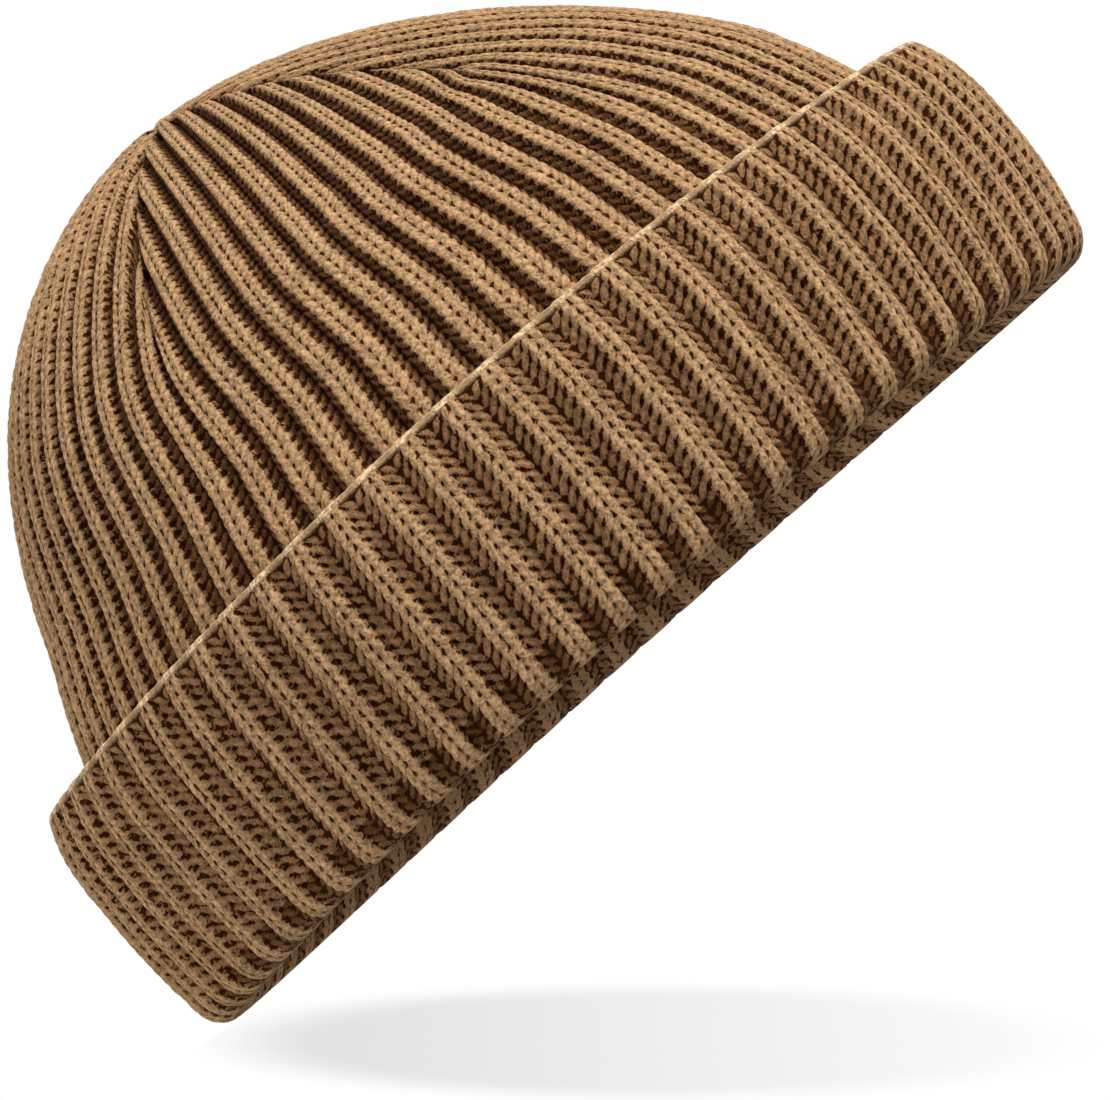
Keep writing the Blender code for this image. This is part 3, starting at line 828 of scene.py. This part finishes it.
def make_cast_on():
    """The firm cast-on edge: a thin bead with a cap over each rib and a smaller one over each furrow.

    Its section is half an oval. Its size follows caps of the form (1 - w^4)^0.5, with w from 0 in a cap's
    middle to 1 at its end, and the root of |sin| at each twist of the yarn. A flat foot closes it below.
    """
    azimuth = DART_AZIMUTH + np.arange(RIB_COUNT * CELLS_PER_PITCH) * PITCH_ANGLE / CELLS_PER_PITCH
    half_width = RIBBED_THICKNESS / 2
    radius, height, normal_r, normal_z = (float(v) for v in on_path(CUFF, CUFF[0][-1]))
    middle_r = radius - half_width * normal_r
    middle_z = height - half_width * normal_z
    turn, around = grid(np.linspace(0.0, math.pi, BEAD_ROWS), azimuth)
    pitch = pitch_of(around) + 0.5
    across = np.abs(pitch - np.floor(pitch) - 0.5)
    wale = np.where(across < RIB_CAP, across / RIB_CAP, (0.5 - across) / FURROW_CAP)
    cap = np.sqrt(np.clip(1.0 - wale ** 4, 0.0, 1.0))
    on_rib = smooth(*RIB_CAP_EDGE, across)
    twist = np.sqrt(np.abs(np.sin(math.pi * (TWISTS_PER_RIB * pitch + TWIST_SLANT * turn))))
    size = BEAD_SIZE + BEAD_CAP_SWELL * cap + BEAD_RIB_SWELL * on_rib + BEAD_TWIST_SWELL * twist
    out = half_width * (np.cos(turn) * size)
    up = CAST_ON_HEIGHT * np.sin(turn) ** BEAD_ROUNDNESS * size
    outer_r = middle_r + out * normal_r - up * normal_z
    outer_z = middle_z + out * normal_z + up * normal_r
    outer = place(outer_r, around, outer_z, cuff_lift(outer_z))
    low_turn, low_around = grid(np.linspace(0.0, math.pi, BEAD_FOOT_ROWS), azimuth)
    out = half_width * np.cos(low_turn) * BEAD_FOOT_SIZE
    inner_z = middle_z + out * normal_z - BEAD_FOOT_DROP
    inner = place(middle_r + out * normal_r, low_around, inner_z, cuff_lift(inner_z))
    # Painted shade on the bead: over the furrows on its outer side, and in the cracks between its caps and
    # twists
    shade = BEAD_SHADE * (1.0 - on_rib) * smooth(*BEAD_SHADE_RANGE, turn)
    gap = 1.0 - BEAD_CAP_GAP * cap - BEAD_TWIST_GAP * twist
    fields = joined({"painted_shade": shade, "gap": gap, "strand": turn, "across": pitch}, plain_fields(low_turn))
    piece = loft("cast_on_edge_bead", outer, inner, fields, True, edge_finish)
    dress(piece, "cast_on_edge")


def inside_offset(length):
    """How far face one's ribs lie below the cap's outline: less at the fold, where the fabric turns."""
    height = np.interp(length, CAP[0], CAP[2])
    low = BODY_TUBE_RADIUS - HEAD_OPENING_RADIUS
    return low + (RIBBED_THICKNESS - low) * smooth(FOLD_CENTRE_HEIGHT, INSIDE_EASE_HEIGHT, height)


def make_body():
    """The cap's side in five pieces: knitted outside, and knitted inside where the head goes."""
    ribs = HALF_RIBS * np.linspace(-1.0, 1.0, GORE_RIBS * CELLS_PER_PITCH + 1)
    outside = np.concatenate([
        rows_between(0.0, HIDDEN_LENGTH, HIDDEN_STEP)[:-1],
        rows_between(HIDDEN_LENGTH, DART_LENGTH, ROW_STEP)])
    inside = np.concatenate([
        rows_between(0.0, INSIDE_FINE_LENGTH, INSIDE_FINE_STEP)[:-1],
        rows_between(INSIDE_FINE_LENGTH, DART_LENGTH, INSIDE_STEP)])
    for number, side in enumerate(GORE_SIDES):
        middle = DART_AZIMUTH + GORE_ANGLE * (number + 0.5)
        length, across = grid(outside, ribs)
        pitch = across + HALF_RIBS + GORE_RIBS * number
        dip, front = knit(pitch, length / COURSE, CROWN_SHARE, RIB_DEPTH, -1.0)
        outer = sheet(CAP, length, middle + rib_azimuth(across, length, number), 0.0, dip, 1.0, body_lift)
        length, across = grid(inside, ribs)
        pitch = across + HALF_RIBS + GORE_RIBS * number
        dip, back = knit_one(pitch + 0.5, -FOLD_LENGTH - length, CUFF_SHARE)
        inner = sheet(CAP, length, middle + rib_azimuth(across, length, number), inside_offset(length), dip,
                      -1.0, body_lift)
        piece = loft("body_" + side, outer, inner, joined(front, back), False, crown_finish)
        dress(piece, "body")


def gore_sheet(number, rows):
    """Lengths, azimuths and pitches of a gore: ribs side by side, each running up until it meets a dart."""
    ribs = HALF_RIBS * np.linspace(-1.0, 1.0, GORE_RIBS * GORE_CELLS + 1)
    share = np.linspace(0.0, 1.0, rows)[:, None]
    length = DART_LENGTH + (rib_end(ribs, number) - DART_LENGTH) * share
    across = ribs + 0.0 * length
    azimuth = DART_AZIMUTH + GORE_ANGLE * (number + 0.5) + rib_azimuth(across, length, number)
    return length, azimuth, across + HALF_RIBS + GORE_RIBS * number


def dart_valley(length, azimuth):
    """How far the fabric is drawn in beside a dart: a bell curve of the distance to it."""
    turn = (azimuth - DART_AZIMUTH) / GORE_ANGLE
    distance = np.abs(turn - np.round(turn)) * GORE_ANGLE * np.interp(length, CAP[0], CAP[1])
    grown = smooth(DART_LENGTH, DART_LENGTH + DART_DIP_GROWTH, length)
    return grown * np.exp(-(distance / DART_DIP_WIDTH) ** 2)


def make_gores():
    """The crown's five gores, whose ribs meet in a herringbone along the darts."""
    for number, side in enumerate(GORE_SIDES):
        length, azimuth, pitch = gore_sheet(number, GORE_ROWS)
        dip, front = knit(pitch, length / COURSE, CROWN_SHARE, RIB_DEPTH, -1.0)
        valley = dart_valley(length, azimuth)
        # Painted shade darkens the fabric along the dart's valley
        front["painted_shade"] = np.clip(front["painted_shade"] + DART_SHADE * valley, 0.0, 1.0)
        outer = sheet(CAP, length, azimuth, 0.0, dip + DART_DIP * valley, 1.0, body_lift)
        length, azimuth, pitch = gore_sheet(number, GORE_BACK_ROWS)
        dip, back = knit_one(pitch + 0.5, -FOLD_LENGTH - length, CUFF_SHARE)
        inner = sheet(CAP, length, azimuth, RIBBED_THICKNESS, dip, -1.0, body_lift)
        piece = loft("gore_%s_knit" % side, outer, inner, joined(front, back), False, crown_finish)
        close_up(piece)
        dress(piece, "gore_" + side)


def overcast(name, profile, low, high, azimuth, depth, radius, lift, node):
    """A seam allowance wrapped with sewing yarn: a tube whose radius swells with each slanting wrap.

    The swelling is the root of |sin| of the way along in wraps and half the turn round the tube, and the
    radius runs out at both ends as the root of the distance to them.
    """
    length = rows_between(low, high, ALLOWANCE_STEP)
    turn = np.linspace(0.0, 2 * math.pi, ALLOWANCE_SIDES + 1)[:-1]
    centre = sheet(profile, length, np.full_like(length, azimuth), depth, 0.0, 1.0, lift)
    along = np.gradient(centre, axis=0)
    along /= np.linalg.norm(along, axis=1)[:, None]
    side = np.array([math.cos(azimuth), math.sin(azimuth), 0.0])
    out = np.cross(side, along)
    swell = np.abs(np.sin(math.pi * length[:, None] / WRAP_SPACING + turn / 2))
    end = np.sqrt(np.clip(np.minimum(length - low, high - length) / radius, LEAST_ALLOWANCE_END, 1.0))
    reach = radius * (WRAP_CORE + WRAP_SWELL * np.sqrt(swell)) * end[:, None]
    sideways = (reach * np.cos(turn))[..., None] * side
    outward = (reach * np.sin(turn))[..., None] * out[:, None]
    rings = centre[:, None] + sideways + outward
    # Painted shade between the wraps, where the tube is thinnest
    fields = {
        "painted_shade": WRAP_SHADE * (1.0 - swell),
        "gap": 1.0 - swell,
        "strand": length[:, None] / COURSE + 0.0 * swell,
        "across": turn / (2 * math.pi) + 0.0 * swell}
    dress(tube(name, rings, fields, seam_finish), node)


def make_seams():
    """The overcast allowances of the darts and of the back seam, on the inside."""
    under = RIBBED_THICKNESS + SEAM_GAP
    tip = TIE_FLANGE_RADIUS + 2 * DART_RIDGE_RADIUS + RIDGE_END_MARGIN
    end = float(np.interp(-tip, -CAP[1], CAP[0]))
    for number in range(GORE_COUNT):
        overcast("dart_allowance_%d" % (number + 1), CAP, DART_LENGTH + RIDGE_END_MARGIN, end,
                 DART_AZIMUTH + number * GORE_ANGLE, under + DART_RIDGE_RADIUS, DART_RIDGE_RADIUS, body_lift,
                 "dart_seam_%d" % (number + 1))
    back = DART_AZIMUTH + BACK_DART * GORE_ANGLE
    overcast("body_back_allowance", CAP, RIDGE_END_MARGIN, DART_LENGTH - RIDGE_END_MARGIN, back,
             under + BACK_RIDGE_RADIUS, BACK_RIDGE_RADIUS, body_lift, "body_back_seam")
    overcast("turn_up_back_allowance", CUFF, FOLD_LENGTH + RIDGE_END_MARGIN,
             CUFF[0][-1] - RIDGE_END_MARGIN, back, FABRIC_THICKNESS + SEAM_GAP + CUFF_RIDGE_RADIUS,
             CUFF_RIDGE_RADIUS, cuff_lift, "turn_up_back_seam")


def make_tie():
    """The yarn that gathers the gore tips: a lobed knot under them and its neck between them.

    The knot's radius is an ellipse of the height, eased into the neck's, and a cosine of the turn and the
    height gives both their slanting lobes.
    """
    under = float(crown_height(TIE_FLANGE_RADIUS + FABRIC_THICKNESS / 2)) - FABRIC_THICKNESS - RIB_DEPTH
    height = np.linspace(under - TIE_FLANGE_HEIGHT, CROWN_TOP - RIB_DEPTH, KNOT_ROWS)[:, None]
    turn = np.linspace(0.0, 2 * math.pi, KNOT_SIDES + 1)[:-1]
    neck = smooth(under + KNOT_NECK_RANGE[0], under + KNOT_NECK_RANGE[1], height)
    rise = (height - under + TIE_FLANGE_HEIGHT / 2) / (KNOT_BELLY * TIE_FLANGE_HEIGHT)
    belly = np.sqrt(np.clip(1.0 - rise ** 2, LEAST_KNOT_BELLY, 1.0))
    radius = TIE_FLANGE_RADIUS * belly * (1.0 - neck) + TIE_NECK_RADIUS * neck
    wave = np.cos(KNOT_LOBES * turn + KNOT_LAY * height / MM)
    radius = radius * (KNOT_CORE + KNOT_SWELL * wave)
    rings = place(radius, -turn, height + 0.0 * turn, 0.0)
    # Painted shade between the knot's lobes
    fields = {
        "painted_shade": KNOT_SHADE - KNOT_SHADE * wave,
        "gap": KNOT_GAP - KNOT_GAP * wave,
        "strand": height / COURSE + 0.0 * turn,
        "across": turn / (2 * math.pi) + 0.0 * height}
    dress(tube("crown_knot", rings, fields, seam_finish), "crown_tie")


make_cuff()
make_fold()
make_cast_on()
make_body()
make_gores()
make_seams()
make_tie()


# Camera: the photograph turns the cap's axis 42 degrees to the left and looks from slightly below the fold
CAP_TILT = math.radians(42.0)
CAMERA_RISE = math.radians(-1.64)
CAMERA_DISTANCE = 3.8
CAMERA_FAR = 50.0
SENSOR_WIDTH = 36.0
FRAME_WIDTH = 198.4 * MM
AIM = Vector((-4.4 * MM, 0.0, 23.9 * MM))

look = Vector((0.0, math.cos(CAMERA_RISE), -math.sin(CAMERA_RISE)))
up = Vector((math.sin(CAP_TILT), 0.0, math.cos(CAP_TILT)))
right = look.cross(up).normalized()
up = right.cross(look).normalized()
camera_data = bpy.data.cameras.new("camera")
camera_data.sensor_width = SENSOR_WIDTH
camera_data.lens = SENSOR_WIDTH * CAMERA_DISTANCE / FRAME_WIDTH
camera_data.clip_end = CAMERA_FAR
camera = bpy.data.objects.new("camera", camera_data)
camera.matrix_world = Matrix.Translation(AIM - look * CAMERA_DISTANCE) @ Matrix(
    (right, up, -look)).transposed().to_4x4()
bpy.context.scene.collection.objects.link(camera)
bpy.context.scene.camera = camera


# Stage: the level floor, and the photograph's own one with the shadow's place, size and strength on it
PLAIN_WHITE = (1.0, 1.0, 1.0, 1.0)
FLOOR_HALF = 4.0
FLOOR_LEVEL = -0.2 * MM
FLOOR_GLOW = 0.5
PHOTO_FLOOR_SLOPE = math.radians(5.2)
PHOTO_FLOOR_LEVEL = -0.4 * MM
PHOTO_FLOOR_RIGHT = 300.0 * MM
PHOTO_FLOOR_HALF_DEEP = 160.0 * MM
TOUCH = Vector((-106.4 * MM, 0.0, 1.9 * MM))
# The painted shadow on the tilted sheet: its place, size and strength
SHADOW_RIGHT = 79.0 * MM
SHADOW_NEAR = 27.0 * MM
SHADOW_HALF_ACROSS = 83.0 * MM
SHADOW_HALF_DEEP = 96.0 * MM
SHADOW_DEPTH = 0.27
SHADOW_RIGHT_SHARE = 0.10
SHADOW_EDGE = (0.70, 1.03)


def new_nodes(nodes, *kinds):
    """A new shader node of each kind."""
    return [nodes.new("ShaderNode" + kind) for kind in kinds]


def camera_side_only(material, shader):
    """Links a shader so that only the camera sees it, on the face's own side. All else passes through."""
    nodes, links = material.node_tree.nodes, material.node_tree.links
    rays, side, seen = new_nodes(nodes, "LightPath", "NewGeometry", "Math")
    seen.operation = "SUBTRACT"
    seen.use_clamp = True
    links.new(rays.outputs["Is Camera Ray"], seen.inputs[0])
    links.new(side.outputs["Backfacing"], seen.inputs[1])
    clear, pick, out = new_nodes(nodes, "BsdfTransparent", "MixShader", "OutputMaterial")
    links.new(seen.outputs[0], pick.inputs["Fac"])
    links.new(clear.outputs[0], pick.inputs[1])
    links.new(shader.outputs[0], pick.inputs[2])
    links.new(pick.outputs[0], out.inputs["Surface"])


def blank_material(name):
    """A material with no nodes yet."""
    material = bpy.data.materials.new(name)
    material.use_nodes = True
    material.node_tree.nodes.clear()
    return material


def floor_finish():
    """White with the cap's own shadow on it."""
    material = blank_material("white_floor")
    nodes, links = material.node_tree.nodes, material.node_tree.links
    glow, white, paper = new_nodes(nodes, "Emission", "BsdfDiffuse", "MixShader")
    white.inputs["Color"].default_value = PLAIN_WHITE
    paper.inputs["Fac"].default_value = FLOOR_GLOW
    links.new(white.outputs[0], paper.inputs[1])
    links.new(glow.outputs[0], paper.inputs[2])
    camera_side_only(material, paper)
    return material


def soft_shadow_finish():
    """White with a painted soft shadow: a grey disc of radius 1 about the middle of the UV map, paler
    towards the right.
    """
    material = blank_material("soft_shadow_floor")
    nodes, links = material.node_tree.nodes, material.node_tree.links
    where, size, fade, glow = new_nodes(nodes, "UVMap", "VectorMath", "MapRange", "Emission")
    split, pale, shade = new_nodes(nodes, "SeparateXYZ", "MapRange", "Math")
    where.uv_map = "shadow"
    size.operation = "LENGTH"
    fade.interpolation_type = "SMOOTHSTEP"
    fade.inputs["From Min"].default_value = SHADOW_EDGE[0]
    fade.inputs["From Max"].default_value = SHADOW_EDGE[1]
    fade.inputs["To Min"].default_value = 1.0
    fade.inputs["To Max"].default_value = 0.0
    pale.inputs["From Min"].default_value = -1.0
    pale.inputs["From Max"].default_value = 1.0
    pale.inputs["To Min"].default_value = -SHADOW_DEPTH
    pale.inputs["To Max"].default_value = -SHADOW_RIGHT_SHARE * SHADOW_DEPTH
    shade.operation = "MULTIPLY_ADD"
    links.new(where.outputs["UV"], size.inputs[0])
    links.new(where.outputs["UV"], split.inputs[0])
    links.new(split.outputs["X"], pale.inputs["Value"])
    links.new(size.outputs["Value"], fade.inputs["Value"])
    links.new(fade.outputs["Result"], shade.inputs[0])
    links.new(pale.outputs["Result"], shade.inputs[1])
    shade.inputs[2].default_value = 1.0
    links.new(shade.outputs[0], glow.inputs["Strength"])
    camera_side_only(material, glow)
    return material


def stage_sheet(name, corners, uv, material):
    """A flat stage sheet from its corners, with a UV corner to each."""
    mesh = bpy.data.meshes.new(name)
    mesh.from_pydata([tuple(corner) for corner in corners], [], [tuple(range(len(corners)))])
    mesh.uv_layers.new(name="shadow").data.foreach_set("uv", np.array(uv, float).ravel())
    mesh.materials.append(material)
    flat = bpy.data.objects.new(name, mesh)
    bpy.context.scene.collection.objects.link(flat)


def tilted_floor():
    """The photograph's own floor: the cap there stands on the side of its cuff, with a soft shadow under it.

    The sheet touches the cuff's lowest point in the picture and keeps below the level floor, which hides it
    from every camera above that.
    """
    away = look * math.cos(PHOTO_FLOOR_SLOPE) + up * math.sin(PHOTO_FLOOR_SLOPE)
    middle = TOUCH + right * SHADOW_RIGHT - away * SHADOW_NEAR
    corners, uv = [], []
    for at_level, deep in ((True, -1), (False, -1), (False, 1), (True, 1)):
        along = deep * PHOTO_FLOOR_HALF_DEEP
        across = PHOTO_FLOOR_RIGHT
        if at_level:
            across = (PHOTO_FLOOR_LEVEL - middle.z - along * away.z) / right.z
        corners.append(middle + right * across + away * along)
        uv.append((across / SHADOW_HALF_ACROSS, along / SHADOW_HALF_DEEP))
    # The sheet's shadow is painted in its material, a grey disc that no lamp casts
    stage_sheet("tilted_floor", corners, uv, soft_shadow_finish())


def lamp(name, direction, strength, width):
    """A sun from a direction, in degrees of softness."""
    data = bpy.data.lights.new(name, "SUN")
    data.energy = strength
    data.angle = math.radians(width)
    light = bpy.data.objects.new(name, data)
    light.rotation_mode = "QUATERNION"
    light.rotation_quaternion = Vector(direction).to_track_quat("Z", "Y")
    bpy.context.scene.collection.objects.link(light)


def world_light(low, high):
    """A studio glow that brightens upwards, white to the camera."""
    world = bpy.data.worlds.new("studio")
    bpy.context.scene.world = world
    world.use_nodes = True
    nodes, links = world.node_tree.nodes, world.node_tree.links
    glow = nodes["Background"]
    glow.inputs["Color"].default_value = PLAIN_WHITE
    where, split, ramp = new_nodes(nodes, "TexCoord", "SeparateXYZ", "MapRange")
    links.new(where.outputs["Generated"], split.inputs[0])
    links.new(split.outputs["Z"], ramp.inputs["Value"])
    ramp.inputs["From Min"].default_value = -1.0
    ramp.inputs["To Min"].default_value = low
    ramp.inputs["To Max"].default_value = high
    rays, pick = new_nodes(nodes, "LightPath", "Mix")
    links.new(rays.outputs["Is Camera Ray"], pick.inputs["Factor"])
    links.new(ramp.outputs["Result"], pick.inputs["A"])
    pick.inputs["B"].default_value = 1.0
    links.new(pick.outputs["Result"], glow.inputs["Strength"])


SQUARE = ((-1, -1), (1, -1), (1, 1), (-1, 1))
floor_corners = [(x * FLOOR_HALF, y * FLOOR_HALF, FLOOR_LEVEL) for x, y in SQUARE]
stage_sheet("floor", floor_corners, SQUARE, floor_finish())
tilted_floor()
world_light(0.32, 0.60)
lamp("key", (1.0, -0.48, 0.75), 2.5, 16.0)
lamp("left_fill", (-0.80, -0.60, -0.10), 0.7, 30.0)
lamp("back_fill", (-0.4, 0.8, 0.5), 0.5, 30.0)

scene = bpy.context.scene
scene.view_settings.view_transform = "Standard"
